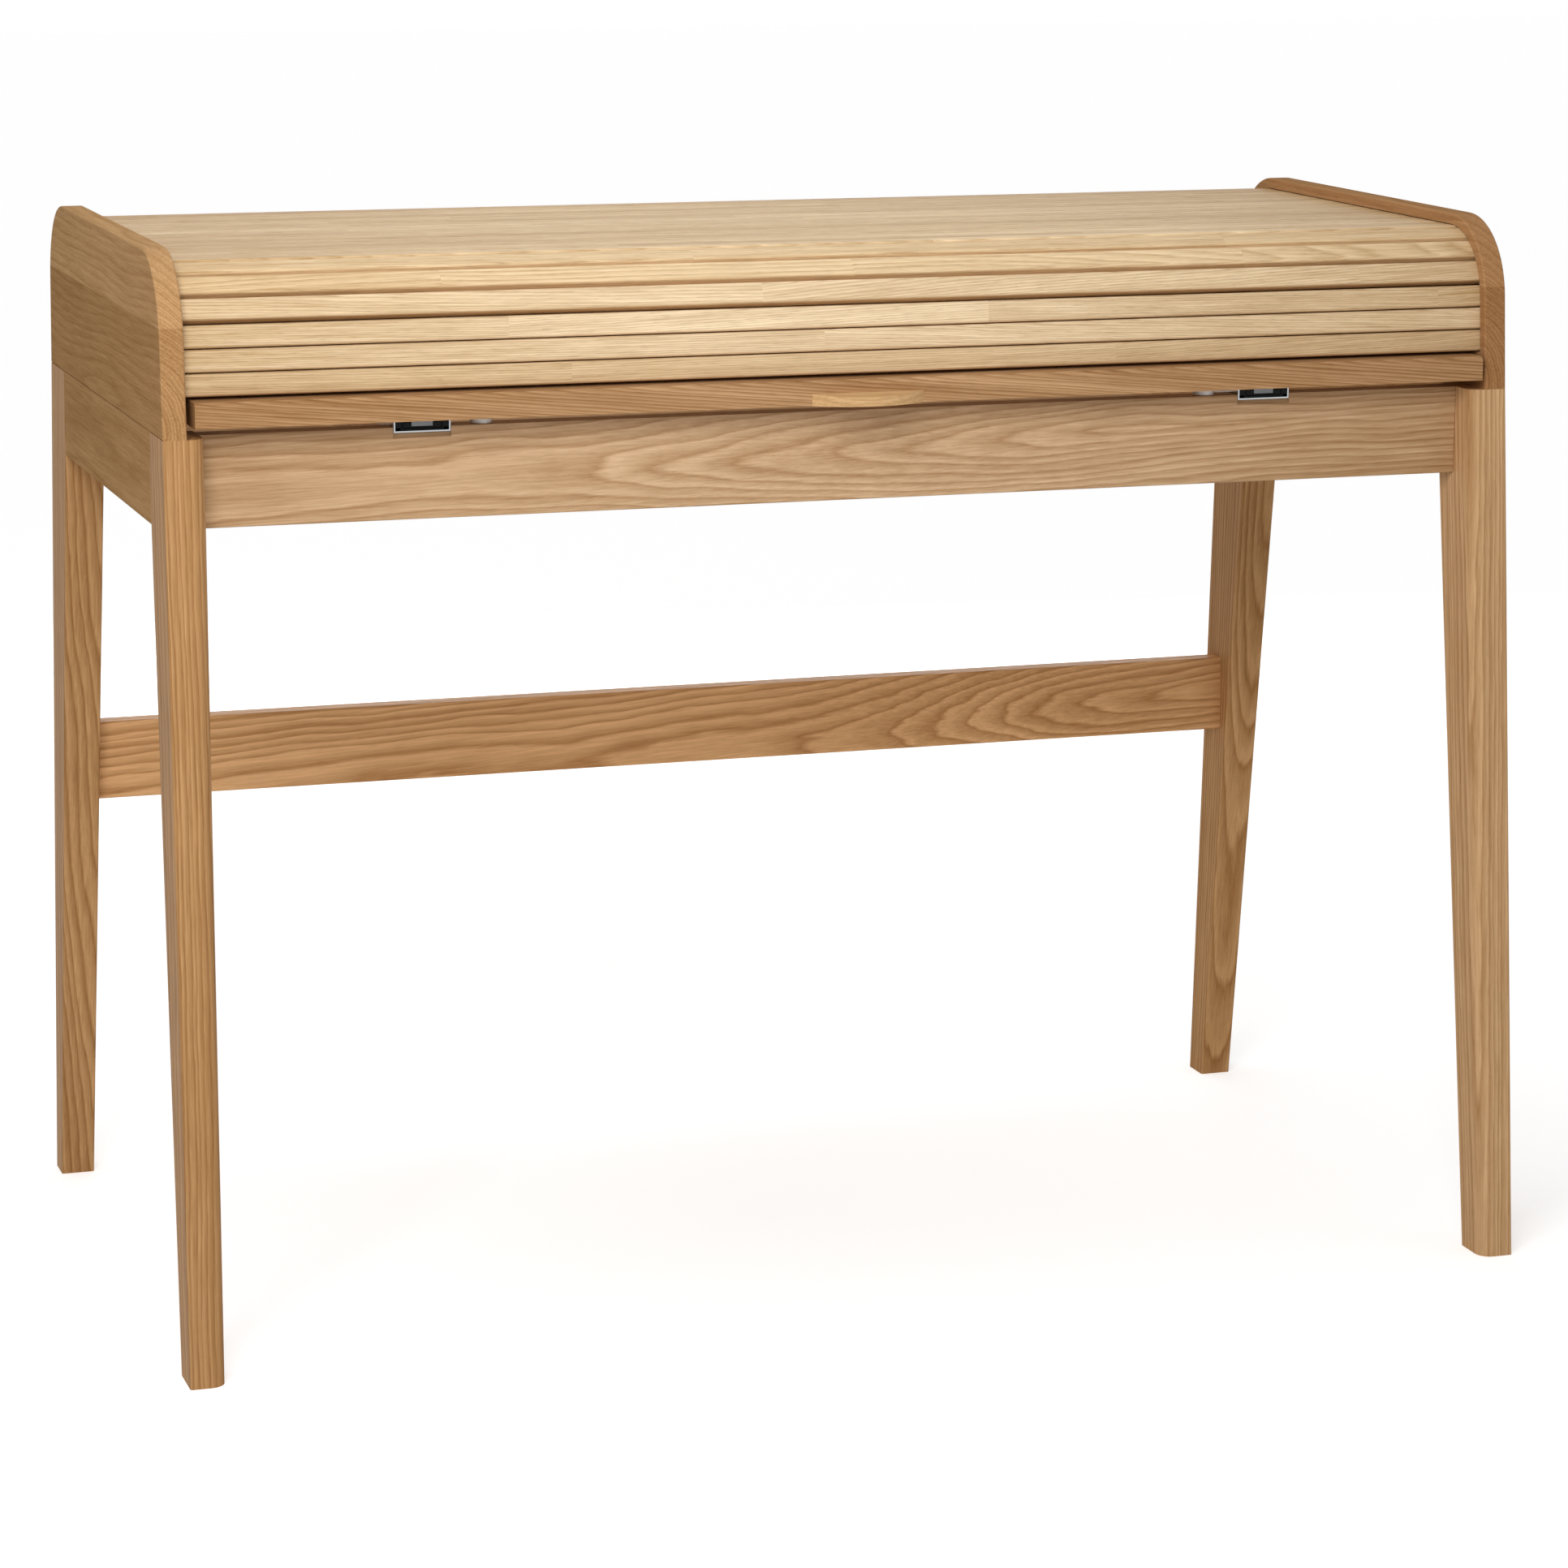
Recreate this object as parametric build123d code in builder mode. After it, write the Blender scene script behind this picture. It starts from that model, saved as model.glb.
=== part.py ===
import os
from math import acos, atan, cos, degrees, hypot, pi, sin, tan

from build123d import *

os.makedirs("parts", exist_ok=True)

# Roll top writing desk, millimetres, +Z up, front towards -Y, feet on z = 0.

# Overall frame
overall_width = 1135.0
cheek_thickness = 19.0
leg_top = 740.0
lean = 0.078
outer_x = overall_width / 2
inner_x = outer_x - cheek_thickness
lean_angle = atan(lean)

# Tambour of hinged slats
slat_pitch = 18.5
slat_thickness = 10.0
slat_gap = 0.9
slat_round = 2.4
bend_slats = 3
end_slats = 3
top_slats = 15
track_clearance = 0.8
track_depth = 7.0
end_clearance = 0.6
island_clearance = 0.4
foot_clearance = 0.3
ease_radius = 150.0
ease_margin = 8.5
cheek_lip = 9.2

# Pull-out worktop
worktop_rise = 28.5
worktop_thickness = 20.0
worktop_side_gap = 5.3
worktop_overhang = 5.0
worktop_rear_gap = 12.0
rail_depth = 32.0
rail_chamfer = 3.0
slat_foot_gap = 1.5
worktop_top = leg_top + worktop_rise
worktop_bottom = worktop_top - worktop_thickness
slat_foot = worktop_top + slat_foot_gap

# Legs, aprons and stretcher
leg_width = 33.0
leg_foot_width = 29.0
leg_flare = 5.0
front_leg_depth = 54.0
front_foot_depth = 38.0
rear_leg_depth = 66.0
rear_foot_depth = 30.0
leg_soft_edge = 12.0
small_edge = 1.5
joint_ease = 0.6
apron_height = 73.0
apron_thickness = 20.0
front_apron_setback = 26.0
apron_bottom = leg_top - apron_height
stretcher_drop = 319.0
stretcher_height = 69.0
stretcher_thickness = 20.0
panel_thickness = 9.0
panel_end_angle = 55.0

# Drawer slides, lying flat
slide_inset = 209.5
slide_width = 45.6
slide_height = 12.7
slide_length = 400.0
sheet = 1.2
run = 0.6
slide_lip = 3.0
middle_width = 34.6
middle_lip = 4.3
inner_width = 19.3
plug_depth = 6.0
slide_lip_drop = 0.3
notch_clearance = 0.5
notch_chamfer = 4.5
bearer_width = 46.0
bearer_height = 22.0

# Small parts
pull_width = 93.5
pull_height = 9.8
pull_reach = 16.0
pull_slope = 2.6
button_diameter = 18.0
button_inset = 50.0
button_run = 0.4
block_size = 30.0
block_height = 40.0
block_drop = 10.0

# How near a length or place has to be to count as the same
near = 0.1

# Tambour path: a flat top, a bend of equal steps, and a leaning straight
bend_step = (pi / 2 - lean_angle) / (bend_slats + 1)
bend_radius = slat_pitch / (2 * tan(bend_step / 2))
bend_drop = slat_pitch * sum(sin(k * bend_step) for k in range(1, bend_slats + 1))
bend_reach = slat_pitch * sum(cos(k * bend_step) for k in range(1, bend_slats + 1))
travel = (bend_slats + end_slats) * slat_pitch
flat_half = (top_slats + bend_slats + end_slats) * slat_pitch / 2
straight_top_z = slat_foot + end_slats * slat_pitch * cos(lean_angle)
straight_top_y = -flat_half - bend_reach
slat_base_z = straight_top_z + bend_drop
bend_y = flat_half - slat_pitch / 2
bend_z = slat_base_z - bend_radius
track_offset = slat_thickness + track_clearance
cheek_offset = track_offset + cheek_lip
track_floor = slat_foot + foot_clearance
slat_half = inner_x + track_depth - end_clearance


def front_line(z, offset):
    """Y of the leaning front line at height z, moved outward by offset."""
    return straight_top_y - lean * (straight_top_z - z) - offset * hypot(1, lean)


def shell_corners(offset, floor):
    """Sharp corners of the tambour outline moved outward by offset."""
    top = slat_base_z + offset
    low_y = front_line(floor, offset)
    high_y = front_line(top, offset)
    return [(low_y, floor), (high_y, top), (-high_y, top), (-low_y, floor)]


frame_half = -front_line(leg_top, cheek_offset)
rail_front = -frame_half - worktop_overhang
apron_front = -frame_half + front_apron_setback
apron_back = apron_front + apron_thickness
rear_apron_front = frame_half - apron_thickness
front_leg_back = -frame_half + front_leg_depth
rear_leg_front = frame_half - rear_leg_depth
leg_inner = outer_x - leg_width
foot_outer = outer_x + leg_flare
foot_inner = foot_outer - leg_foot_width
slide_bottom = worktop_bottom - slide_height
slide_front = apron_front
slide_x = outer_x - slide_inset
button_x = slide_x - button_inset
panel_offset = track_offset + panel_thickness
worktop_back = -front_line(worktop_top, track_offset) - worktop_rear_gap
worktop_half = inner_x - worktop_side_gap
foot_out = frame_half + lean * leg_top
side_apron_inner = outer_x - apron_thickness


def leg_inner_at(z):
    """X of a leg's inner face at height z, below the aprons."""
    return leg_inner + (foot_inner - leg_inner) * (apron_bottom - z) / apron_bottom


# Cheeks, with the tambour track cut into the inner face
for side_name, side in (("left", -1), ("right", 1)):
    with BuildPart() as cheek:
        with BuildSketch(Plane.YZ.offset(side * inner_x)) as outline:
            with BuildLine():
                Polyline(*shell_corners(cheek_offset, leg_top), close=True)
            make_face()
            fillet(outline.vertices().sort_by(Axis.Y)[-2:], bend_radius + cheek_offset)
        extrude(amount=side * cheek_thickness)
        rim = [
            edge
            for edge in cheek.edges()
            if edge.bounding_box().size.X < near
            and (edge.center().Z > leg_top + near or abs(edge.center().X) > outer_x - near)
        ]
        fillet(rim, small_edge)
        with BuildSketch(Plane.YZ.offset(side * inner_x)) as track:
            with BuildLine():
                Polyline(*shell_corners(track_offset, track_floor), close=True)
            make_face()
            fillet(track.vertices().sort_by(Axis.Y)[-2:], bend_radius + track_offset)
            with BuildLine():
                island_top = slat_base_z - island_clearance
                island_half = flat_half - travel + ease_margin
                ease = degrees(acos(1 - (island_top - track_floor) / ease_radius))
                flat = Line((-island_half, island_top), (island_half, island_top))
                rear_ease = JernArc(flat @ 1, (1, 0), ease_radius, -ease)
                front_ease = JernArc(flat @ 0, (-1, 0), ease_radius, ease)
                Line(rear_ease @ 1, front_ease @ 1)
            make_face(mode=Mode.SUBTRACT)
        extrude(amount=side * track_depth, mode=Mode.SUBTRACT)
    cheek.part.label = f"{side_name}_cheek"
    export_step(cheek.part, f"parts/{side_name}_cheek.step")

# Legs: they carry on the lean of the cheek, flare a little sideways and taper to the foot
for end_name, end, top_depth, foot_depth in (
    ("front", -1, front_leg_depth, front_foot_depth),
    ("rear", 1, rear_leg_depth, rear_foot_depth),
):
    for side_name, side in (("left", -1), ("right", 1)):
        with BuildPart() as leg:
            with BuildSketch(Plane.YZ.offset(side * leg_inner)):
                with BuildLine():
                    Polyline(
                        (end * frame_half, leg_top),
                        (end * (frame_half - top_depth), leg_top),
                        (end * (frame_half - top_depth), apron_bottom),
                        (end * (foot_out - foot_depth), 0),
                        (end * foot_out, 0),
                        close=True,
                    )
                make_face()
            extrude(amount=side * (leg_width + leg_flare))
            with BuildSketch(Plane.XZ):
                with BuildLine():
                    Polyline(
                        (side * leg_inner, apron_bottom),
                        (side * foot_inner, 0),
                        (side * leg_inner, 0),
                        close=True,
                    )
                make_face()
                with BuildLine():
                    Polyline(
                        (side * outer_x, leg_top),
                        (side * foot_outer, 0),
                        (side * foot_outer, leg_top),
                        close=True,
                    )
                make_face()
            extrude(amount=2 * foot_out, both=True, mode=Mode.SUBTRACT)
            long_edges = [
                edge for edge in leg.edges() if edge.bounding_box().size.Z > apron_height + near
            ]
            soft_edges = [
                edge
                for edge in leg.edges()
                if end_name == "front"
                and abs(edge.center().X) < foot_inner + near
                and edge.bounding_box().size.Z > apron_height - near
                and end * edge.center().Y > frame_half - near
            ]
            crisp_edges = [edge for edge in long_edges if edge not in soft_edges]
            fillet(crisp_edges, small_edge)
            if soft_edges:
                fillet(soft_edges, leg_soft_edge)
        leg.part.label = f"{end_name}_{side_name}_leg"
        export_step(leg.part, f"parts/{end_name}_{side_name}_leg.step")

# Side aprons, flush with the outer faces of the legs
for side_name, side in (("left", -1), ("right", 1)):
    with BuildPart() as side_apron:
        with BuildSketch(Plane.XY.offset(apron_bottom)):
            with Locations((side * (outer_x - apron_thickness / 2), (front_leg_back + rear_leg_front) / 2)):
                Rectangle(apron_thickness, rear_leg_front - front_leg_back)
        extrude(amount=apron_height)
        fillet(side_apron.faces().sort_by(Axis.Z)[0].edges().filter_by(Axis.Y), small_edge)
        outer_face = side_apron.faces().sort_by(Axis.X)[-1 if side > 0 else 0]
        chamfer(outer_face.edges().filter_by(Axis.Z), joint_ease)
    side_apron.part.label = f"{side_name}_side_apron"
    export_step(side_apron.part, f"parts/{side_name}_side_apron.step")

# Front apron, notched for the two slides
with BuildPart() as front_apron:
    with BuildSketch(Plane.XY.offset(apron_bottom)):
        with Locations((0, (apron_front + apron_back) / 2)):
            Rectangle(2 * leg_inner, apron_thickness)
    extrude(amount=apron_height)
    fillet(front_apron.faces().sort_by(Axis.Z)[0].edges().filter_by(Axis.X), small_edge)
    chamfer(front_apron.faces().sort_by(Axis.Y)[0].edges().filter_by(Axis.Z), joint_ease)
    with BuildSketch(Plane.XY.offset(slide_bottom)):
        with Locations(
            (-slide_x, (apron_front + apron_back) / 2),
            (slide_x, (apron_front + apron_back) / 2),
        ):
            Rectangle(slide_width + 2 * notch_clearance, apron_thickness)
    extrude(amount=leg_top - slide_bottom, mode=Mode.SUBTRACT)
    notch_lips = [
        edge
        for edge in front_apron.edges().filter_by(Axis.X)
        if abs(edge.center().Z - slide_bottom) < near and abs(edge.center().Y - apron_front) < near
    ]
    chamfer(notch_lips, notch_chamfer)
front_apron.part.label = "front_apron"
export_step(front_apron.part, "parts/front_apron.step")

# Rear apron, under the back panel
with BuildPart() as rear_apron:
    with BuildSketch(Plane.XY.offset(apron_bottom)):
        with Locations((0, frame_half - apron_thickness / 2)):
            Rectangle(2 * leg_inner, apron_thickness)
    extrude(amount=apron_height)
    fillet(rear_apron.faces().sort_by(Axis.Z)[0].edges().filter_by(Axis.X), small_edge)
rear_apron.part.label = "rear_apron"
export_step(rear_apron.part, "parts/rear_apron.step")

# Rear stretcher, its ends cut to the taper of the rear legs
stretcher_top = leg_top - stretcher_drop
stretcher_bottom = stretcher_top - stretcher_height
stretcher_mid = (stretcher_top + stretcher_bottom) / 2
rear_out = frame_half + lean * (leg_top - stretcher_mid)
rear_depth = rear_foot_depth + (rear_leg_depth - rear_foot_depth) * stretcher_mid / apron_bottom
stretcher_y = rear_out - rear_depth / 2
with BuildPart() as stretcher:
    with BuildSketch(Plane.XZ.offset(-(stretcher_y - stretcher_thickness / 2))):
        with BuildLine():
            Polyline(
                (-leg_inner_at(stretcher_bottom), stretcher_bottom),
                (leg_inner_at(stretcher_bottom), stretcher_bottom),
                (leg_inner_at(stretcher_top), stretcher_top),
                (-leg_inner_at(stretcher_top), stretcher_top),
                close=True,
            )
        make_face()
    extrude(amount=-stretcher_thickness)
    fillet(stretcher.edges().filter_by(Axis.X), small_edge)
stretcher.part.label = "rear_stretcher"
export_step(stretcher.part, "parts/rear_stretcher.step")

# Back panel, bent round the rear bend of the track
with BuildPart() as back_panel:
    with BuildSketch(Plane.YZ.offset(-inner_x)):
        with BuildLine():
            inner_radius = bend_radius + track_offset
            outer_radius = bend_radius + panel_offset
            sweep = panel_end_angle - degrees(lean_angle)
            inner_arc = CenterArc((bend_y, bend_z), inner_radius, degrees(lean_angle), sweep)
            outer_arc = CenterArc((bend_y, bend_z), outer_radius, degrees(lean_angle), sweep)
            inner_foot = (-front_line(leg_top, track_offset), leg_top)
            outer_foot = (-front_line(leg_top, panel_offset), leg_top)
            Line(inner_foot, inner_arc @ 0)
            Line(inner_arc @ 1, outer_arc @ 1)
            Line(outer_arc @ 0, outer_foot)
            Line(outer_foot, inner_foot)
        make_face()
    extrude(amount=2 * inner_x)
back_panel.part.label = "back_panel"
export_step(back_panel.part, "parts/back_panel.step")

# Slide bearers from the front apron to the rear apron, and the three members of each slide
for side_name, side in (("left", -1), ("right", 1)):
    centre = side * slide_x
    with BuildPart() as bearer:
        with BuildSketch(Plane.XY.offset(slide_bottom - bearer_height)):
            with Locations((centre, (apron_back + rear_apron_front) / 2)):
                Rectangle(bearer_width, rear_apron_front - apron_back)
        extrude(amount=bearer_height)
    bearer.part.label = f"{side_name}_slide_bearer"
    export_step(bearer.part, f"parts/{side_name}_slide_bearer.step")

    outer_top = slide_height - sheet - slide_lip_drop
    wall_x = slide_width / 2 - sheet / 2
    with BuildPart() as slide_outer:
        with BuildSketch(Plane.XZ.offset(-slide_front)):
            with Locations((centre, slide_bottom + sheet / 2)):
                Rectangle(slide_width, sheet)
            with Locations(
                (centre - wall_x, slide_bottom + outer_top / 2),
                (centre + wall_x, slide_bottom + outer_top / 2),
            ):
                Rectangle(sheet, outer_top)
            with Locations(
                (centre - slide_width / 2 + (sheet + slide_lip) / 2, slide_bottom + outer_top - sheet / 2),
                (centre + slide_width / 2 - (sheet + slide_lip) / 2, slide_bottom + outer_top - sheet / 2),
            ):
                Rectangle(sheet + slide_lip, sheet)
        extrude(amount=-slide_length)
    slide_outer.part.label = f"{side_name}_slide_outer"
    export_step(slide_outer.part, f"parts/{side_name}_slide_outer.step")

    middle_low = slide_bottom + sheet + run
    middle_top = slide_bottom + outer_top - sheet - run
    middle_tall = middle_top - middle_low
    middle_wall = middle_width / 2 - sheet / 2
    ball_out = slide_width / 2 - sheet - run
    ball_width = ball_out - middle_width / 2 + sheet / 2
    ball_low = middle_low + sheet + run
    with BuildPart() as slide_middle:
        with BuildSketch(Plane.XZ.offset(-slide_front)):
            with Locations((centre, middle_low + sheet / 2)):
                Rectangle(middle_width, sheet)
            with Locations(
                (centre - middle_wall, middle_low + middle_tall / 2),
                (centre + middle_wall, middle_low + middle_tall / 2),
            ):
                Rectangle(sheet, middle_tall)
            with Locations(
                (centre - ball_out + ball_width / 2, (ball_low + middle_top) / 2),
                (centre + ball_out - ball_width / 2, (ball_low + middle_top) / 2),
            ):
                Rectangle(ball_width, middle_top - ball_low)
            with Locations(
                (centre - middle_width / 2 + middle_lip / 2, middle_top - sheet / 2),
                (centre + middle_width / 2 - middle_lip / 2, middle_top - sheet / 2),
            ):
                Rectangle(middle_lip, sheet)
        extrude(amount=-slide_length)
    slide_middle.part.label = f"{side_name}_slide_middle"
    export_step(slide_middle.part, f"parts/{side_name}_slide_middle.step")

    inner_low = middle_low + sheet + run
    inner_rib_top = middle_top - sheet - run
    rib_out = middle_width / 2 - sheet - run
    rib_width = rib_out - inner_width / 2 + sheet / 2
    inner_wall = inner_width / 2 - sheet / 2
    with BuildPart() as slide_inner:
        with BuildSketch(Plane.XZ.offset(-slide_front)):
            with Locations((centre, (inner_low + worktop_bottom) / 2)):
                Rectangle(inner_width, worktop_bottom - inner_low)
                Rectangle(
                    inner_width - 2 * sheet,
                    worktop_bottom - inner_low - 2 * sheet,
                    mode=Mode.SUBTRACT,
                )
            with Locations(
                (centre - rib_out + rib_width / 2, (inner_low + inner_rib_top) / 2),
                (centre + rib_out - rib_width / 2, (inner_low + inner_rib_top) / 2),
            ):
                Rectangle(rib_width, inner_rib_top - inner_low)
        extrude(amount=-slide_length)
    slide_inner.part.label = f"{side_name}_slide_inner"
    export_step(slide_inner.part, f"parts/{side_name}_slide_inner.step")

# End plugs in the front of the two inner slide members
with BuildPart() as plugs:
    with BuildSketch(Plane.XZ.offset(-slide_front)):
        plug_z = (inner_low + worktop_bottom) / 2
        with Locations((-slide_x, plug_z), (slide_x, plug_z)):
            Rectangle(inner_width - 2 * sheet, worktop_bottom - inner_low - 2 * sheet)
    extrude(amount=-plug_depth)
plugs.part.label = "slide_end_plugs"
export_step(plugs.part, "parts/slide_end_plugs.step")

# Worktop: a panel behind a solid front rail
with BuildPart() as worktop_panel:
    with BuildSketch(Plane.XY.offset(worktop_bottom)):
        with Locations((0, (rail_front + rail_depth + worktop_back) / 2)):
            Rectangle(2 * worktop_half, worktop_back - rail_front - rail_depth)
    extrude(amount=worktop_thickness)
worktop_panel.part.label = "worktop_panel"
export_step(worktop_panel.part, "parts/worktop_panel.step")

with BuildPart() as rail:
    with BuildSketch(Plane.XY.offset(worktop_bottom)):
        with Locations((0, rail_front + rail_depth / 2)):
            Rectangle(2 * worktop_half, rail_depth)
    extrude(amount=worktop_thickness)
    front_face = rail.faces().sort_by(Axis.Y)[0]
    chamfer(front_face.edges().filter_by(Axis.X).sort_by(Axis.Z)[-1], rail_chamfer)
rail.part.label = "worktop_front_rail"
export_step(rail.part, "parts/worktop_front_rail.step")

# Half-moon lip pull on the rail, its top sloping down to the front
pull_top = worktop_bottom + pull_height
with BuildPart() as pull:
    with BuildSketch(Plane.XY.offset(worktop_bottom)):
        with BuildLine():
            chord = Line((-pull_width / 2, rail_front), (pull_width / 2, rail_front))
            ThreePointArc(chord @ 1, (0, rail_front - pull_reach), chord @ 0)
        make_face()
    extrude(amount=pull_height)
    with BuildSketch(Plane.YZ):
        with BuildLine():
            Polyline(
                (rail_front, pull_top),
                (rail_front - pull_reach, pull_top),
                (rail_front - pull_reach, pull_top - pull_slope),
                close=True,
            )
        make_face()
    extrude(amount=pull_width, both=True, mode=Mode.SUBTRACT)
pull.part.label = "lip_pull"
export_step(pull.part, "parts/lip_pull.step")

# Nylon glide buttons under the worktop, just clear of the front apron
with BuildPart() as buttons:
    with BuildSketch(Plane.XY.offset(leg_top + button_run)):
        with Locations(
            (-button_x, (apron_front + apron_back) / 2),
            (button_x, (apron_front + apron_back) / 2),
        ):
            Circle(button_diameter / 2)
    extrude(amount=worktop_bottom - leg_top - button_run)
buttons.part.label = "glide_buttons"
export_step(buttons.part, "parts/glide_buttons.step")

# Corner blocks glued into the corners of the aprons, round the inside of each leg
with BuildPart() as blocks:
    with BuildSketch(Plane.XY.offset(leg_top - block_drop - block_height)):
        for side in (-1, 1):
            for root, leg_edge, toward in (
                (apron_back, front_leg_back, 1),
                (rear_apron_front, rear_leg_front, -1),
            ):
                with BuildLine():
                    Polyline(
                        (side * (leg_inner - block_size), root),
                        (side * leg_inner, root),
                        (side * leg_inner, leg_edge),
                        (side * side_apron_inner, leg_edge),
                        (side * side_apron_inner, leg_edge + toward * block_size),
                        close=True,
                    )
                make_face()
    extrude(amount=block_height)
blocks.part.label = "corner_blocks"
export_step(blocks.part, "parts/corner_blocks.step")

# Tambour slats, from the lowest at the front to the tail at the rear of the top
slat_low_ends = []
low_y = straight_top_y - end_slats * slat_pitch * sin(lean_angle)
low_z = slat_foot
for number in range(end_slats + bend_slats + top_slats + bend_slats + end_slats):
    bends_below = min(max(number - end_slats + 1, 0), bend_slats + 1)
    turn = pi / 2 - lean_angle - bends_below * bend_step
    slat_low_ends.append((low_y, low_z, turn))
    low_y = low_y + slat_pitch * cos(turn)
    low_z = low_z + slat_pitch * sin(turn)

for number, (low_y, low_z, turn) in enumerate(slat_low_ends, start=1):
    with BuildPart() as slat:
        face_plane = Plane(
            origin=(-slat_half, low_y, low_z),
            x_dir=(0, cos(turn), sin(turn)),
            z_dir=(1, 0, 0),
        )
        with BuildSketch(face_plane) as section:
            with Locations((slat_pitch / 2, slat_thickness / 2)):
                Rectangle(slat_pitch - slat_gap, slat_thickness)
            fillet(section.vertices().sort_by(Axis.Y)[-2:], slat_round)
        extrude(amount=2 * slat_half)
    slat.part.label = f"tambour_slat_{number:02d}"
    export_step(slat.part, f"parts/tambour_slat_{number:02d}.step")
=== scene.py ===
from dataclasses import dataclass, replace
from math import pi

import bpy
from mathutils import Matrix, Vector


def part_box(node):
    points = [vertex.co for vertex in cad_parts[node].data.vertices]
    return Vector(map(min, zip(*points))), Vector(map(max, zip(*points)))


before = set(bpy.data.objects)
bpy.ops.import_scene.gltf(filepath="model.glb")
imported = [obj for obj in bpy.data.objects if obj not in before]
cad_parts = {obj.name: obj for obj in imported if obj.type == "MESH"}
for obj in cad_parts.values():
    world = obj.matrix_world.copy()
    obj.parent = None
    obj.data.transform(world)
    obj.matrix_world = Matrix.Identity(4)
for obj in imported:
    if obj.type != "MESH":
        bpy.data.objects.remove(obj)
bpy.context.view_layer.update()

# Camera, metres and radians, fitted to the outline of the desk in a square image
IMAGE_SIDE = 1932
FOCAL_PIXELS = 5693.6
SENSOR_WIDTH = 36.0
CAMERA_PLACE = (-1.2081, -3.7293, 1.2276)
CAMERA_YAW = 0.3167
CAMERA_PITCH = 0.1952
CAMERA_ROLL = 0.0043
AXIS_HEIGHT_PIXELS = 96


def paint(red, green, blue):
    """A colour given as screen values from 0 to 255, made linear."""
    return tuple(((value / 255 + 0.055) / 1.055) ** 2.4 for value in (red, green, blue))


# Ash under a clear satin varnish, each group of boards in its own tone, with painted light in the
# stretcher's tone and painted shade in the right cheek's
SLAT_CREAM = paint(241, 216, 178)
APRON_TAN = paint(202, 167, 129)
LEG_HONEY = paint(184, 140, 93)
LEG_PALE = paint(198, 158, 114)
CHEEK_BROWN = paint(186, 145, 100)
# Painted shade: the right cheek is the left cheek's wood made darker, for the side away from the
# key lamp
RIGHT_CHEEK_SHADED = paint(172, 128, 86)
RAIL_TAN = paint(182, 142, 101)
# Painted light: the stretcher is painted paler than its wood, to make up for the shade under the
# desk
STRETCHER_PAINTED_LIGHT = paint(211, 162, 111)
PULL_TAN = paint(200, 160, 112)
PORE_BROWN = paint(120, 82, 48)

# One year's ring: places in it, and the share there of the palest wood, or of the
# brownest where it is negative. The palest and the brownest are steps from the board's colour
RING_TONES = ((0.0, -1.0), (0.16, -0.4), (0.40, 0.0), (0.64, 1.0), (0.82, 1.0), (1.0, -1.0))
RING_PALE = (0.11, 0.13, 0.17)
RING_BROWN = (-0.20, -0.27, -0.35)
RING_SPACING = 0.0036

# Rings vary in width, and runs of years are paler or browner
UNEVEN_SCALE = 0.45
UNEVEN_WIDTH = 1.1
SEASON_SCALE = 0.23
SEASON_SHADE = 0.18

# Grain as noise: how far it is drawn out along the board, how fine it is, its octaves
SWAY_DRAWN, SWAY_SCALE = 0.30, 9.0
RIPPLE_SCALE, RIPPLE_OCTAVES = 110.0, 1.5
FIBRE_DRAWN, FIBRE_SCALE, FIBRE_OCTAVES, FIBRE_ROUGHNESS = 0.030, 620.0, 4.0, 0.65
PORE_DRAWN, PORE_SCALE, PORE_OCTAVES = 0.055, 1500.0, 1.5
CLOUD_DRAWN, CLOUD_SCALE, CLOUD_OCTAVES = 0.45, 10.0, 2.0
FIBRE_SHADE = 0.35
CLOUD_SHADE = 0.10

# Noise at which a pore begins and is full, and the share of pores left in mid-ring
PORE_EDGE, PORE_FULL = 0.52, 0.72
PORES_MID_RING = 0.25

# How fast red, green and blue fall as the wood gets browner
BROWNING = (1.0, 1.25, 1.6)

# Cut ends drink the varnish and go darker, with the rings as fine arcs
END_GRAIN = (-0.06, -0.10, -0.14)
ARC_SPACING = 0.0026
ARC_SHADE = 0.34

# Varnish: the pores are rougher, and sink in below the fibre
VARNISH_ROUGHNESS = 0.40
PORE_ROUGHNESS = 0.16
FIBRE_HEIGHT = 0.4
GRAIN_BUMP, GRAIN_DEPTH = 0.18, 0.0003

# What sets pieces and strips apart: their chance values, their place along the tree,
# and how far the hearts of two strips may lie from each other
SEED_STEP = 7.31
RUN_STEP, RUN_LOOSE = 2.17, 9.0
STRIP_LOOSE = 0.04

# Slats: how much browner the brownest is than the palest, each slat's share of that,
# how much browner and yellower those on top are painted, as painted shade against the lamps'
# sheen there, and the painted shade on their lower edges
SLAT_HONEY = (-0.20, -0.26, -0.34)
# The first slat, the lowest, takes the full share: partly its own tone, partly painted shade low
# on the front
SLAT_TONES = (1.0, 0.35, 0.3, 0.55, 0.1, 0.0, 0.25, 0.75, 0.2, 0.5, 0.9, 0.3, 0.6)
SLAT_TOP_PAINTED_SHADE = (-0.04, -0.08, -0.15)
# Painted shade: the colour that downward faces, such as the slats' lower edges, are multiplied by
UNDER_EDGE_SHADE = (0.68, 0.48, 0.29)
SLAT_FIRST_SEED = 31
STRIP_SHORTEST, STRIP_LONGER, STRIP_SHIFT = 0.34, 0.06, 0.11

# Drawn steel, and the painted shade on the front ends of the slides: black there, for the shadow
# inside their channels
STEEL = (0.52, 0.53, 0.54)
STEEL_DRAWN, STEEL_LINES = 0.03, 1400.0
STEEL_ROUGHNESS, LINE_ROUGHNESS = 0.12, 0.16
SLIDE_END_SHADE = (0.012, 0.012, 0.012)
SLIDE_END_SHADE_DEPTH = 0.004

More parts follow.
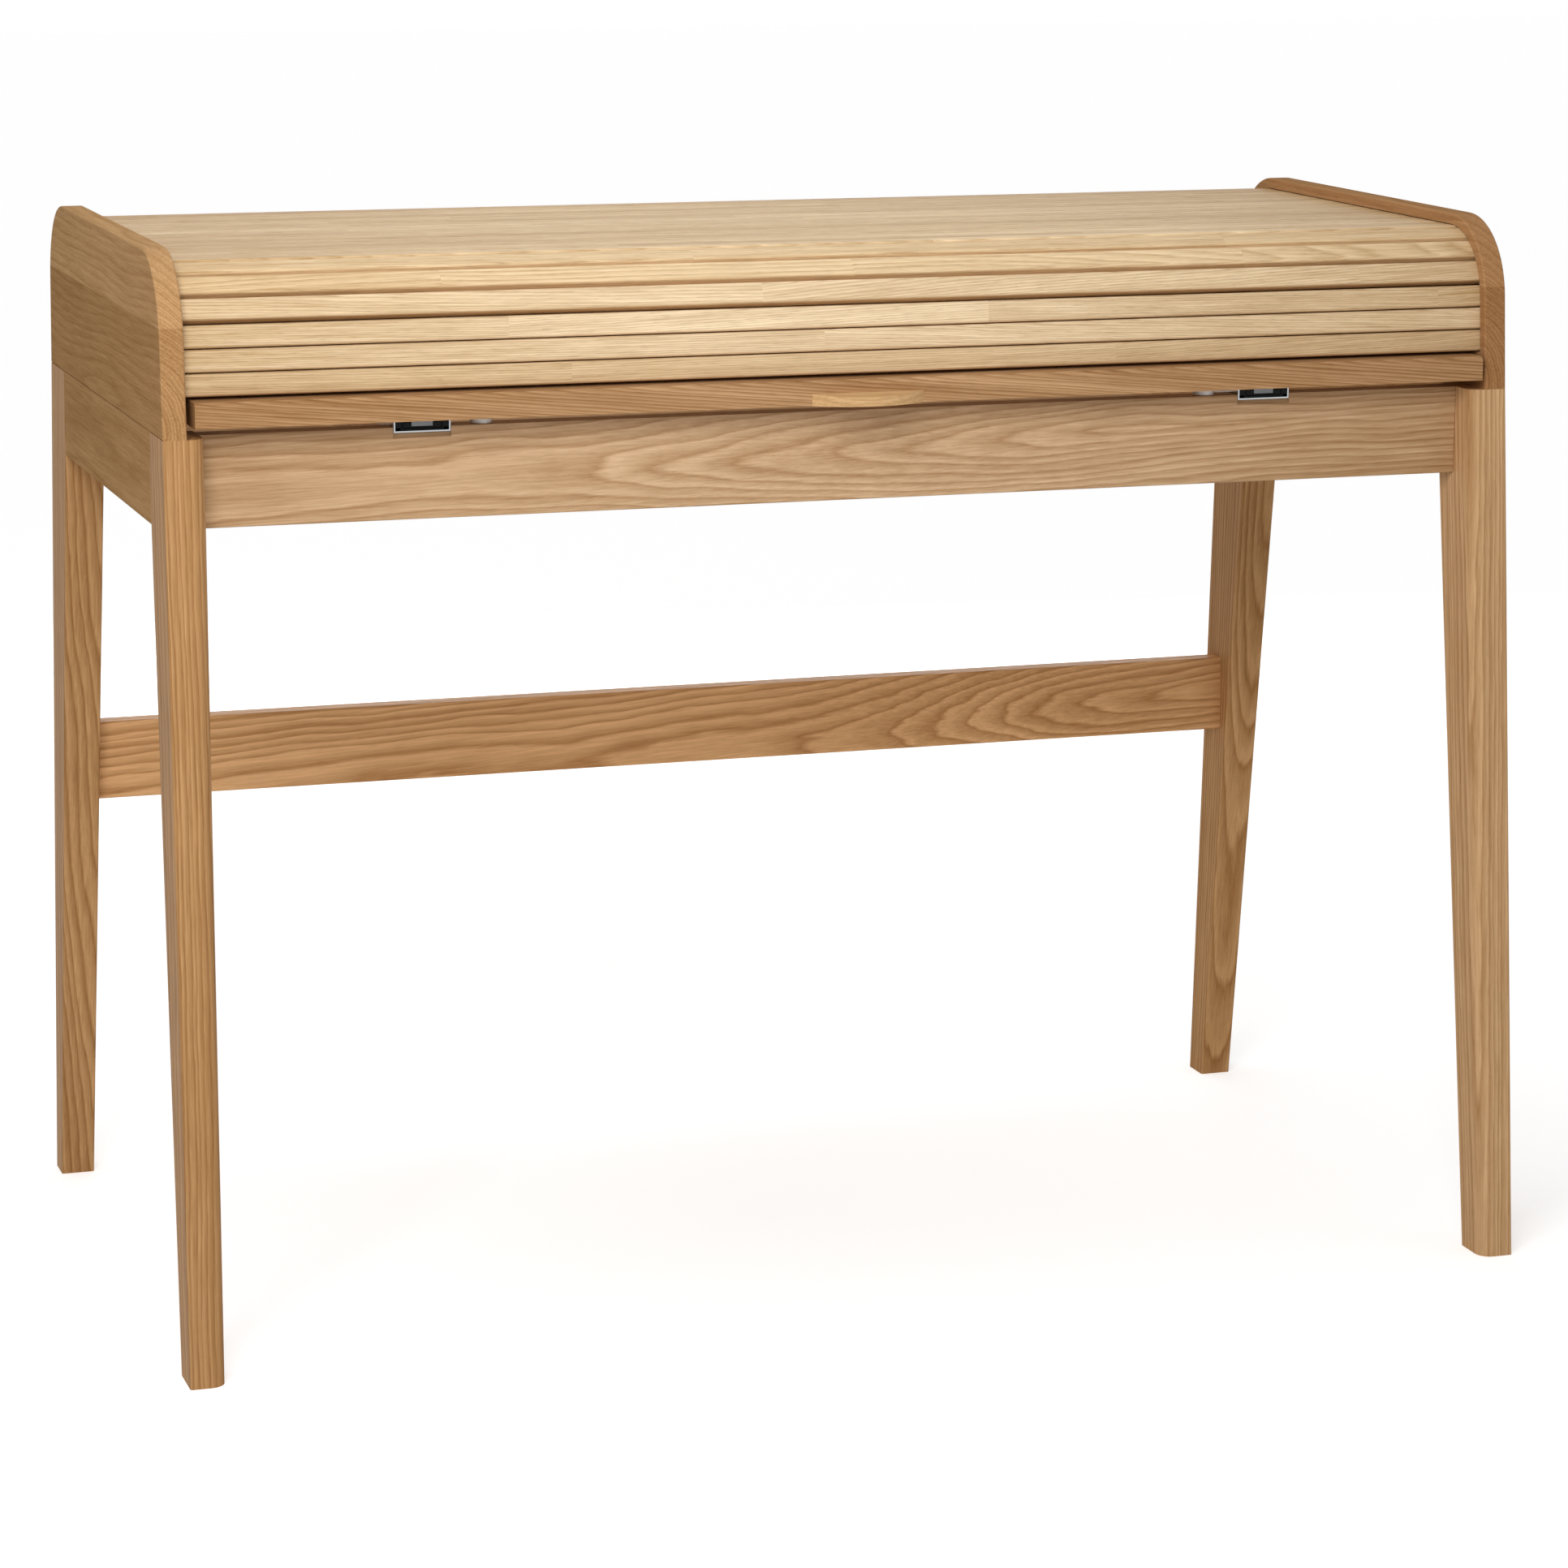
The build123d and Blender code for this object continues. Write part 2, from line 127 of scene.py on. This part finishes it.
# Moulded plastics
NYLON, NYLON_ROUGHNESS = (0.86, 0.86, 0.84), 0.42
PLUG_GREY, PLUG_ROUGHNESS = (0.30, 0.33, 0.36), 0.38
MOTTLE_SCALE, MOTTLE_SHADE = 260.0, 0.9
MOTTLE_DARK, MOTTLE_LIGHT = 0.3, 0.7
MOULD_SCALE, MOULD_OCTAVES = 2600.0, 1.0
MOULD_BUMP, MOULD_DEPTH = 0.1, 0.0002

# Stage: the floor glows less in a pool round the desk
WHITE = (1.0, 1.0, 1.0, 1.0)
FLOOR_WHITE = (0.90, 0.90, 0.90)
FLOOR_SIZE = 40.0
FLOOR_ROUGHNESS, FLOOR_SHINE = 0.9, 0.1
SURROUND_GLOW = 0.66
POOL_LIGHT = 0.25
POOL_REACH = 1.8


def add_node(tree, kind, inputs=None, **settings):
    """A node whose inputs are given as numbers or as sockets to link from."""
    made = tree.nodes.new(kind)
    for name, value in settings.items():
        setattr(made, name, value)
    for name, value in (inputs or {}).items():
        socket = made.inputs[name]
        if isinstance(value, bpy.types.NodeSocket):
            tree.links.new(value, socket)
        else:
            socket.default_value = value
    return made


def add_math(tree, operation, first, second=0.0, clamp=False):
    inputs = {0: first, 1: second}
    made = add_node(tree, "ShaderNodeMath", inputs, operation=operation, use_clamp=clamp)
    return made.outputs[0]


def add_scaled(tree, value, scale, offset=0.0):
    inputs = {0: value, 1: scale, 2: offset}
    return add_node(tree, "ShaderNodeMath", inputs, operation="MULTIPLY_ADD").outputs[0]


def add_swing(tree, value, reach):
    """A value from 0 to 1, made to swing by reach to either side of 0."""
    return add_scaled(tree, value, 2 * reach, -reach)


def add_sum(tree, first, *others):
    for other in others:
        first = add_math(tree, "ADD", first, other)
    return first


def add_square(tree, value):
    return add_math(tree, "MULTIPLY", value, value)


def add_vector(tree, x, y, z):
    return add_node(tree, "ShaderNodeCombineXYZ", {"X": x, "Y": y, "Z": z}).outputs[0]


def split_vector(tree, vector):
    return add_node(tree, "ShaderNodeSeparateXYZ", {"Vector": vector}).outputs


def add_noise(tree, vector, scale, detail=2.0, roughness=0.5):
    inputs = {"Vector": vector, "Scale": scale, "Detail": detail, "Roughness": roughness}
    return add_node(tree, "ShaderNodeTexNoise", inputs).outputs["Fac"]


def add_noise_along(tree, value, scale):
    """Noise along one number, such as the count of rings."""
    inputs = {"W": value, "Scale": scale}
    return add_node(tree, "ShaderNodeTexNoise", inputs, noise_dimensions="1D").outputs["Fac"]


def add_ramp(tree, factor, stops):
    made = add_node(tree, "ShaderNodeValToRGB", {"Fac": factor})
    band = made.color_ramp
    while len(band.elements) < len(stops):
        band.elements.new(0.5)
    for element, (place, colour) in zip(band.elements, stops):
        element.position = place
        element.color = (*colour, 1.0)
    return made.outputs["Color"]


def add_mix(tree, factor, first, second, blend="MIX"):
    inputs = {0: factor, 6: first, 7: second}
    made = add_node(tree, "ShaderNodeMix", inputs, data_type="RGBA", blend_type=blend)
    return made.outputs[2]


def new_finish(name):
    material = bpy.data.materials.new(name)
    material.use_nodes = True
    return material, material.node_tree, material.node_tree.nodes["Principled BSDF"]


def shifted(colour, steps, share=1.0):
    return tuple(value * (1.0 + share * step) for value, step in zip(colour, steps))


@dataclass
class Cut:
    """How a piece is cut from the tree. Lengths are in metres, tones are shares."""

    # The axes that the board runs along, across its face and through it, such as "XZY"
    axes: str
    colour: tuple
    # Where the heart of the tree lies, across the face and behind it. With a bow, the
    # second is how far it moves to either side of the bow's depth
    pith: tuple = None
    # How the heart nears the face along the board: middle, length and depth of the bow
    bow: tuple = None
    # How steeply the heart climbs across the face, and how far the piece leans in depth
    slant: float = 0.0
    lean: float = 0.0
    # Axis, width and start of the strips that the piece is glued up from, how far their
    # tones differ, and how far their grain may run off the board's edges
    boards: tuple = None
    spread: float = 0.05
    skew: float = 0.012
    # How far apart the rings lie, how far they sway, and in how many octaves
    spacing: float = RING_SPACING
    sway: float = 0.006
    wander: float = 1.5
    # How far the rings waver, and how far that is drawn out along the board
    ripple: tuple = (0.0016, 0.14)
    # How strongly the rings and the pores show
    contrast: float = 0.7
    pored: float = 0.26
    # How much browner it gets as the heart nears, and how much darker it is painted a metre away
    # from its middle: a painted sheen that leaves the middle paler
    heartwood: float = 0.0
    fade: float = 0.0
    # Painted shade: how soon a face that turns downwards is painted browner and darker
    edges: float = 0.0
    shine: float = 0.06
    # Pieces of one seed have the same figure
    seed: int = None


def strip_luck(tree, split, cut):
    """Three chance values for the strip, or the whole board, that a spot lies in."""
    strip = SEED_STEP * cut.seed
    if cut.boards:
        axis, width, start = cut.boards
        count = add_math(tree, "DIVIDE", add_math(tree, "SUBTRACT", split[axis], start), width)
        strip = add_math(tree, "ADD", add_math(tree, "FLOOR", count), strip)
    chance = add_node(tree, "ShaderNodeTexWhiteNoise", {"W": strip}, noise_dimensions="1D")
    colour = chance.outputs["Color"]
    return add_node(tree, "ShaderNodeSeparateColor", {"Color": colour}).outputs


def heart_grid(tree, split, luck, cut):
    """How far a spot lies along the tree, beside its heart and in front of it.

    Also how far the bow has brought the heart to the face there, from -1 to 1.
    """
    along, across, depth = (split[axis] for axis in cut.axes)
    middle, length, base = cut.bow or (0.0, 1.0, 0.0)
    loose = STRIP_LOOSE if cut.boards else 0.0
    ahead = add_math(tree, "SUBTRACT", along, middle)
    climb = add_scaled(tree, luck["Green"], 2 * cut.skew, cut.slant - cut.skew)
    beside = add_sum(
        tree,
        across,
        add_scaled(tree, luck["Green"], loose, -cut.pith[0] - loose / 2),
        add_math(tree, "MULTIPLY", ahead, climb),
    )
    if cut.bow:
        nearing = add_math(tree, "TANH", add_math(tree, "DIVIDE", ahead, length))
        heart = add_scaled(tree, nearing, cut.pith[1], base)
    else:
        nearing = 0.0
        heart = add_scaled(tree, luck["Red"], loose, cut.pith[1])
    before = add_sum(tree, depth, add_scaled(tree, along, -cut.lean), heart)
    start = add_scaled(tree, luck["Blue"], RUN_LOOSE, RUN_STEP * cut.seed)
    return (add_math(tree, "ADD", along, start), beside, before), nearing


def drawn_noise(tree, grid, drawn, scale, detail, roughness=0.5):
    """Noise that is drawn out along the board."""
    run, beside, before = grid
    stretched = add_vector(tree, add_math(tree, "MULTIPLY", run, drawn), beside, before)
    return add_noise(tree, stretched, scale, detail, roughness)


def ring_growth(tree, grid, cut):
    """Count of rings from the heart to a spot. They sway slowly and ripple finely."""
    _, beside, before = grid
    squares = add_sum(tree, add_square(tree, beside), add_square(tree, before))
    radius = add_math(tree, "SQRT", squares)
    waver, drawn = cut.ripple
    sway = drawn_noise(tree, grid, SWAY_DRAWN, SWAY_SCALE, cut.wander)
    ripple = drawn_noise(tree, grid, drawn, RIPPLE_SCALE, RIPPLE_OCTAVES)
    reach = add_sum(tree, radius, add_swing(tree, sway, cut.sway), add_swing(tree, ripple, waver))
    growth = add_math(tree, "DIVIDE", reach, cut.spacing)
    uneven = add_noise_along(tree, growth, UNEVEN_SCALE)
    return add_math(tree, "ADD", growth, add_scaled(tree, uneven, UNEVEN_WIDTH))


def ring_colours(tree, rings, cut):
    """The board's colour, paler and browner by turns through each ring."""
    stops = []
    for place, share in RING_TONES:
        steps = RING_PALE if share > 0 else RING_BROWN
        stops.append((place, shifted(cut.colour, steps, abs(share) * cut.contrast)))
    return add_ramp(tree, rings, stops)


def open_pores(tree, grid, rings):
    """1 where a pore is open. They crowd where one ring ends and the next begins."""
    noise = drawn_noise(tree, grid, PORE_DRAWN, PORE_SCALE, PORE_OCTAVES)
    inputs = {"Value": noise, "From Min": PORE_EDGE, "From Max": PORE_FULL}
    pores = add_node(tree, "ShaderNodeMapRange", inputs).outputs[0]
    spring = add_math(tree, "ABSOLUTE", add_swing(tree, rings, 1.0))
    share = add_scaled(tree, spring, 1.0 - PORES_MID_RING, PORES_MID_RING)
    return add_math(tree, "MULTIPLY", pores, share)


def cut_ends(tree, normal, growth, wood, cut):
    """The wood, darker and with fine arcs on the faces that look along the board."""
    facing = add_square(tree, split_vector(tree, normal)[cut.axes[0]])
    arcs = add_math(tree, "MULTIPLY", growth, cut.spacing / ARC_SPACING)
    arcs = add_math(tree, "FRACT", arcs)
    shades = [add_scaled(tree, arcs, ARC_SHADE, 1.0 + step - ARC_SHADE / 2) for step in END_GRAIN]
    ends = add_mix(tree, 1.0, wood, add_vector(tree, *shades), "MULTIPLY")
    return add_mix(tree, facing, wood, ends)


def paint_shade_below(tree, normal, wood, cut):
    """The wood with painted shade: browner and darker on the faces that turn downwards."""
    # Painted shade, as much as the face turns downwards
    down = add_math(tree, "MULTIPLY", split_vector(tree, normal)["Z"], -cut.edges, clamp=True)
    shaded_wood = add_mix(tree, 1.0, wood, (*UNDER_EDGE_SHADE, 1.0), "MULTIPLY")
    return add_mix(tree, down, wood, shaded_wood)


def ash_finish(name, middle, cut):
    """Satin ash: growth rings round a wandering heart, fibre, open pores and dark ends."""
    material, tree, shader = new_finish(name)
    place = add_node(tree, "ShaderNodeTexCoord").outputs
    shift = {"Vector": place["Object"], "Location": tuple(-value for value in middle)}
    split = split_vector(tree, add_node(tree, "ShaderNodeMapping", shift).outputs[0])
    luck = strip_luck(tree, split, cut)
    grid, nearing = heart_grid(tree, split, luck, cut)

    growth = ring_growth(tree, grid, cut)
    rings = add_math(tree, "FRACT", growth)
    figure = ring_colours(tree, rings, cut)
    seasons = add_noise_along(tree, growth, SEASON_SCALE)
    fibre = drawn_noise(tree, grid, FIBRE_DRAWN, FIBRE_SCALE, FIBRE_OCTAVES, FIBRE_ROUGHNESS)
    pores = open_pores(tree, grid, rings)
    cloud = drawn_noise(tree, grid, CLOUD_DRAWN, CLOUD_SCALE, CLOUD_OCTAVES)

    light = add_sum(
        tree,
        1.0,
        add_swing(tree, fibre, FIBRE_SHADE),
        add_swing(tree, luck["Red"], cut.spread),
        add_swing(tree, cloud, CLOUD_SHADE),
        add_scaled(tree, nearing, -cut.heartwood),
        # Painted sheen: darker towards the ends, so the middle reads paler as if under a lamp
        add_scaled(tree, add_square(tree, split[cut.axes[0]]), -cut.fade),
        add_swing(tree, seasons, SEASON_SHADE * cut.contrast),
    )
    tones = [add_scaled(tree, light, fall, 1.0 - fall) for fall in BROWNING]
    toned = add_mix(tree, 1.0, figure, add_vector(tree, *tones), "MULTIPLY")
    showing = add_math(tree, "MULTIPLY", pores, cut.pored)
    marked = add_mix(tree, showing, toned, (*PORE_BROWN, 1.0))
    wood = cut_ends(tree, place["Normal"], growth, marked, cut)
    if cut.edges:
        wood = paint_shade_below(tree, place["Normal"], wood, cut)
    tree.links.new(wood, shader.inputs["Base Color"])

    gloss = add_scaled(tree, pores, PORE_ROUGHNESS, VARNISH_ROUGHNESS)
    tree.links.new(gloss, shader.inputs["Roughness"])
    height = add_math(tree, "SUBTRACT", add_math(tree, "MULTIPLY", fibre, FIBRE_HEIGHT), pores)
    relief = {"Height": height, "Strength": GRAIN_BUMP, "Distance": GRAIN_DEPTH}
    bump = add_node(tree, "ShaderNodeBump", relief)
    tree.links.new(bump.outputs[0], shader.inputs["Normal"])
    shader.inputs["Specular IOR Level"].default_value = cut.shine
    return material


def bright_steel_finish(name, shade_until=None):
    """Drawn steel, with painted shade: black on its front end up to the given depth."""
    material, tree, shader = new_finish(name)
    place = add_node(tree, "ShaderNodeTexCoord").outputs["Object"]
    drawn = {"Vector": place, "Scale": (1.0, STEEL_DRAWN, 1.0)}
    lines = add_noise(tree, add_node(tree, "ShaderNodeMapping", drawn).outputs[0], STEEL_LINES)
    shader.inputs["Base Color"].default_value = (*STEEL, 1.0)
    if shade_until is not None:
        # Painted shade: the front end is black, for the shadow inside the slide's channels
        shaded_end = add_math(tree, "LESS_THAN", split_vector(tree, place)["Y"], shade_until)
        toned = add_mix(tree, shaded_end, (*STEEL, 1.0), (*SLIDE_END_SHADE, 1.0))
        tree.links.new(toned, shader.inputs["Base Color"])
    shader.inputs["Metallic"].default_value = 1.0
    roughness = add_scaled(tree, lines, LINE_ROUGHNESS, STEEL_ROUGHNESS)
    tree.links.new(roughness, shader.inputs["Roughness"])
    return material


def moulded_finish(name, colour, roughness):
    """Moulded plastic with a faint mottle and a fine grain."""
    material, tree, shader = new_finish(name)
    place = add_node(tree, "ShaderNodeTexCoord").outputs["Object"]
    mottle = add_noise(tree, place, MOTTLE_SCALE)
    dark = tuple(MOTTLE_SHADE * value for value in colour)
    toned = add_ramp(tree, mottle, [(MOTTLE_DARK, dark), (MOTTLE_LIGHT, colour)])
    tree.links.new(toned, shader.inputs["Base Color"])
    shader.inputs["Roughness"].default_value = roughness
    grain = add_noise(tree, place, MOULD_SCALE, MOULD_OCTAVES)
    relief = {"Height": grain, "Strength": MOULD_BUMP, "Distance": MOULD_DEPTH}
    bump = add_node(tree, "ShaderNodeBump", relief)
    tree.links.new(bump.outputs[0], shader.inputs["Normal"])
    return material


def middle_of(node):
    low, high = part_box(node)
    return tuple((a + b) / 2 for a, b in zip(low, high))


def lies_flat(node):
    low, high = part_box(node)
    return high[1] - low[1] > high[2] - low[2]


def dress(node, material):
    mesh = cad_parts[node].data
    mesh.materials.clear()
    mesh.materials.append(material)


# How each wooden piece is cut. Both cheeks have one seed, and the legs lean as they do in CAD
LEG_LEAN = 0.078
CHEEK = Cut(
    axes="YZX",
    colour=CHEEK_BROWN,
    pith=(-0.050, 0.030),
    boards=("Z", 0.14, 0.0145),
    spread=0.12,
    spacing=0.0075,
    sway=0.020,
    contrast=0.45,
    shine=0.0,
    seed=38,
)
FRONT_LEG = Cut(
    axes="ZXY",
    colour=LEG_HONEY,
    lean=LEG_LEAN,
    spacing=0.0042,
    contrast=1.05,
    shine=0.015,
)
REAR_LEG = Cut(
    axes="ZXY",
    colour=LEG_HONEY,
    lean=-LEG_LEAN,
    spacing=0.0050,
    sway=0.014,
    contrast=1.3,
    shine=0.015,
)
SIDE_APRON = Cut(
    axes="YZX",
    colour=CHEEK_BROWN,
    pith=(0.010, 0.080),
    spacing=0.0070,
    sway=0.014,
    contrast=0.45,
    shine=0.0,
)
HIDDEN_RAIL = Cut(axes="YXZ", colour=LEG_HONEY, pith=(0.020, 0.080))
WOODEN_PIECES = {
    "left_cheek": CHEEK,
    # The right cheek has the left's figure, with painted shade in its darker colour
    "right_cheek": replace(CHEEK, colour=RIGHT_CHEEK_SHADED),
    "front_left_leg": replace(FRONT_LEG, pith=(0.150, 0.060)),
    "front_right_leg": replace(FRONT_LEG, colour=LEG_PALE, pith=(-0.110, 0.070)),
    "rear_left_leg": replace(REAR_LEG, pith=(0.030, 0.060)),
    "rear_right_leg": replace(REAR_LEG, pith=(0.010, 0.045)),
    "left_side_apron": SIDE_APRON,
    "right_side_apron": SIDE_APRON,
    "front_apron": Cut(
        axes="XZY",
        colour=APRON_TAN,
        pith=(0.004, -0.022),
        bow=(-0.02, 0.26, 0.030),
        slant=-0.03,
        spacing=0.0058,
        sway=0.018,
        wander=3.0,
        ripple=(0.0014, 0.10),
        contrast=1.0,
        heartwood=0.05,
        fade=0.5,
    ),
    "rear_apron": Cut(
        axes="XZY",
        colour=APRON_TAN,
        pith=(0.010, 0.060),
        spacing=0.0060,
        sway=0.012,
        shine=0.02,
    ),
    "rear_stretcher": Cut(
        axes="XZY",
        colour=STRETCHER_PAINTED_LIGHT,
        pith=(-0.010, -0.030),
        bow=(0.30, 0.15, 0.046),
        slant=-0.05,
        spacing=0.0062,
        sway=0.014,
        wander=3.0,
        ripple=(0.0020, 0.14),
        contrast=1.3,
        heartwood=0.08,
    ),
    "back_panel": Cut(
        axes="XZY",
        colour=APRON_TAN,
        pith=(0.010, -0.030),
        bow=(0.05, 0.30, 0.040),
        slant=0.03,
        spacing=0.0062,
        sway=0.018,
        wander=3.0,
        contrast=0.9,
        heartwood=0.04,
        shine=0.02,
    ),
    "left_slide_bearer": HIDDEN_RAIL,
    "right_slide_bearer": HIDDEN_RAIL,
    "corner_blocks": Cut(axes="ZXY", colour=LEG_HONEY, pith=(0.02, 0.08)),
    "worktop_panel": Cut(
        axes="XYZ",
        colour=APRON_TAN,
        pith=(0.0, 0.070),
        boards=("Y", 0.110, 0.02),
        spacing=0.0060,
        sway=0.012,
    ),
    "worktop_front_rail": Cut(
        axes="XZY",
        colour=RAIL_TAN,
        pith=(0.160, 0.060),
        slant=0.10,
        spacing=0.0026,
        sway=0.004,
        ripple=(0.0008, 0.10),
        contrast=1.2,
        pored=0.40,
        fade=0.5,
    ),
    "lip_pull": Cut(axes="XYZ", colour=PULL_TAN, pith=(0.020, 0.060), contrast=0.5),
}

for number, (piece, cut) in enumerate(WOODEN_PIECES.items(), start=1):
    if cut.seed is None:
        cut = replace(cut, seed=number)
    dress(piece, ash_finish(f"ash_{piece}", middle_of(piece), cut))

# Slats are joined end to end from strips of five lengths and seven starts, shuffled from
# slat to slat, so their tone changes along the length
SLAT = Cut(
    axes="XZY",
    colour=SLAT_CREAM,
    pith=(0.140, 0.060),
    spread=0.06,
    skew=0.045,
    spacing=0.0015,
    sway=0.004,
    ripple=(0.0004, 0.10),
    pored=0.34,
    fade=0.66,
    edges=0.5,
    shine=0.07,
)
slats = sorted(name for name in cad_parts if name.startswith("tambour_slat"))
for number, slat in enumerate(slats):
    seed = SLAT_FIRST_SEED + number
    length = STRIP_SHORTEST + STRIP_LONGER * (seed * 7 % 5)
    start = STRIP_SHIFT * (seed * 3 % 7)
    colour = shifted(SLAT_CREAM, SLAT_HONEY, SLAT_TONES[number % len(SLAT_TONES)])
    cut = replace(SLAT, colour=colour, boards=("X", length, start), seed=seed)
    # Slats on top get painted shade: browner and yellower than the rest
    if lies_flat(slat):
        cut = replace(cut, axes="XYZ", colour=shifted(colour, SLAT_TOP_PAINTED_SHADE))
    dress(slat, ash_finish(f"ash_{slat}", middle_of(slat), cut))

steel = bright_steel_finish("bright_steel")
for hand in ("left", "right"):
    dress(f"{hand}_slide_outer", steel)
    for member in ("middle", "inner"):
        node = f"{hand}_slide_{member}"
        front_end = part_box(node)[0][1]
        dress(node, bright_steel_finish(f"steel_{node}", front_end + SLIDE_END_SHADE_DEPTH))
dress("glide_buttons", moulded_finish("white_nylon", NYLON, NYLON_ROUGHNESS))
dress("slide_end_plugs", moulded_finish("grey_plug", PLUG_GREY, PLUG_ROUGHNESS))


# Stage: pale floor, white surround, soft lamps
def white_to_the_eye(tree):
    """1 where a ray comes straight from the camera, a mirror or a glass, else 0."""
    path = add_node(tree, "ShaderNodeLightPath").outputs
    seen = add_math(tree, "MAXIMUM", path["Is Camera Ray"], path["Is Glossy Ray"])
    return add_math(tree, "MAXIMUM", seen, path["Is Transmission Ray"])


def pale_floor_finish(name):
    """White that glows less round the desk, where the lamps reach it, to keep the shadow."""
    material, tree, shader = new_finish(name)
    shader.inputs["Base Color"].default_value = (*FLOOR_WHITE, 1.0)
    shader.inputs["Roughness"].default_value = FLOOR_ROUGHNESS
    shader.inputs["Specular IOR Level"].default_value = FLOOR_SHINE
    shader.inputs["Emission Color"].default_value = WHITE
    spot = add_node(tree, "ShaderNodeTexCoord").outputs["Object"]
    away = add_node(tree, "ShaderNodeVectorMath", {0: spot}, operation="LENGTH").outputs["Value"]
    pool = add_math(tree, "EXPONENT", add_math(tree, "DIVIDE", away, -POOL_REACH))
    glow = add_scaled(tree, pool, -POOL_LIGHT, SURROUND_GLOW)
    glow = add_math(tree, "MULTIPLY", white_to_the_eye(tree), glow)
    tree.links.new(glow, shader.inputs["Emission Strength"])
    return material


bpy.ops.mesh.primitive_plane_add(size=FLOOR_SIZE)
floor = bpy.context.object
floor.name = "floor"
floor.data.materials.append(pale_floor_finish("pale_floor"))

world = bpy.data.worlds.new("studio")
bpy.context.scene.world = world
world.use_nodes = True
sky = world.node_tree.nodes["Background"]
sky.inputs["Color"].default_value = WHITE
seen = white_to_the_eye(world.node_tree)
strength = add_scaled(world.node_tree, seen, SURROUND_GLOW, 1.0 - SURROUND_GLOW)
world.node_tree.links.new(strength, sky.inputs["Strength"])


def soft_lamp(name, place, aim, size, power):
    data = bpy.data.lights.new(name, "AREA")
    data.shape = "RECTANGLE"
    data.size, data.size_y = size
    data.energy = power
    lamp = bpy.data.objects.new(name, data)
    lamp.location = place
    way = Vector(aim) - Vector(place)
    lamp.rotation_euler = way.to_track_quat("-Z", "Y").to_euler()
    bpy.context.collection.objects.link(lamp)


soft_lamp(
    "front_softbox", place=(-1.0, -2.0, 1.8), aim=(-0.1, 0.0, 0.55), size=(1.5, 1.2), power=37.0
)
soft_lamp(
    "right_softbox", place=(3.0, -2.2, 1.6), aim=(0.2, 0.0, 0.5), size=(1.6, 1.8), power=3.0
)
soft_lamp(
    "rear_softbox", place=(0.5, 3.0, 0.55), aim=(0.0, 0.0, 0.55), size=(2.2, 0.5), power=14.0
)
soft_lamp(
    "top_softbox", place=(-0.5, 0.6, 3.2), aim=(-0.1, 0.0, 0.8), size=(2.4, 1.4), power=13.0
)

lens = bpy.data.cameras.new("camera")
lens.sensor_width = SENSOR_WIDTH
lens.lens = FOCAL_PIXELS * SENSOR_WIDTH / IMAGE_SIDE
lens.shift_y = -AXIS_HEIGHT_PIXELS / IMAGE_SIDE
camera = bpy.data.objects.new("camera", lens)
camera.location = CAMERA_PLACE
camera.rotation_euler = (pi / 2 - CAMERA_PITCH, -CAMERA_ROLL, -CAMERA_YAW)
bpy.context.collection.objects.link(camera)
bpy.context.scene.camera = camera
bpy.context.scene.view_settings.view_transform = "Standard"
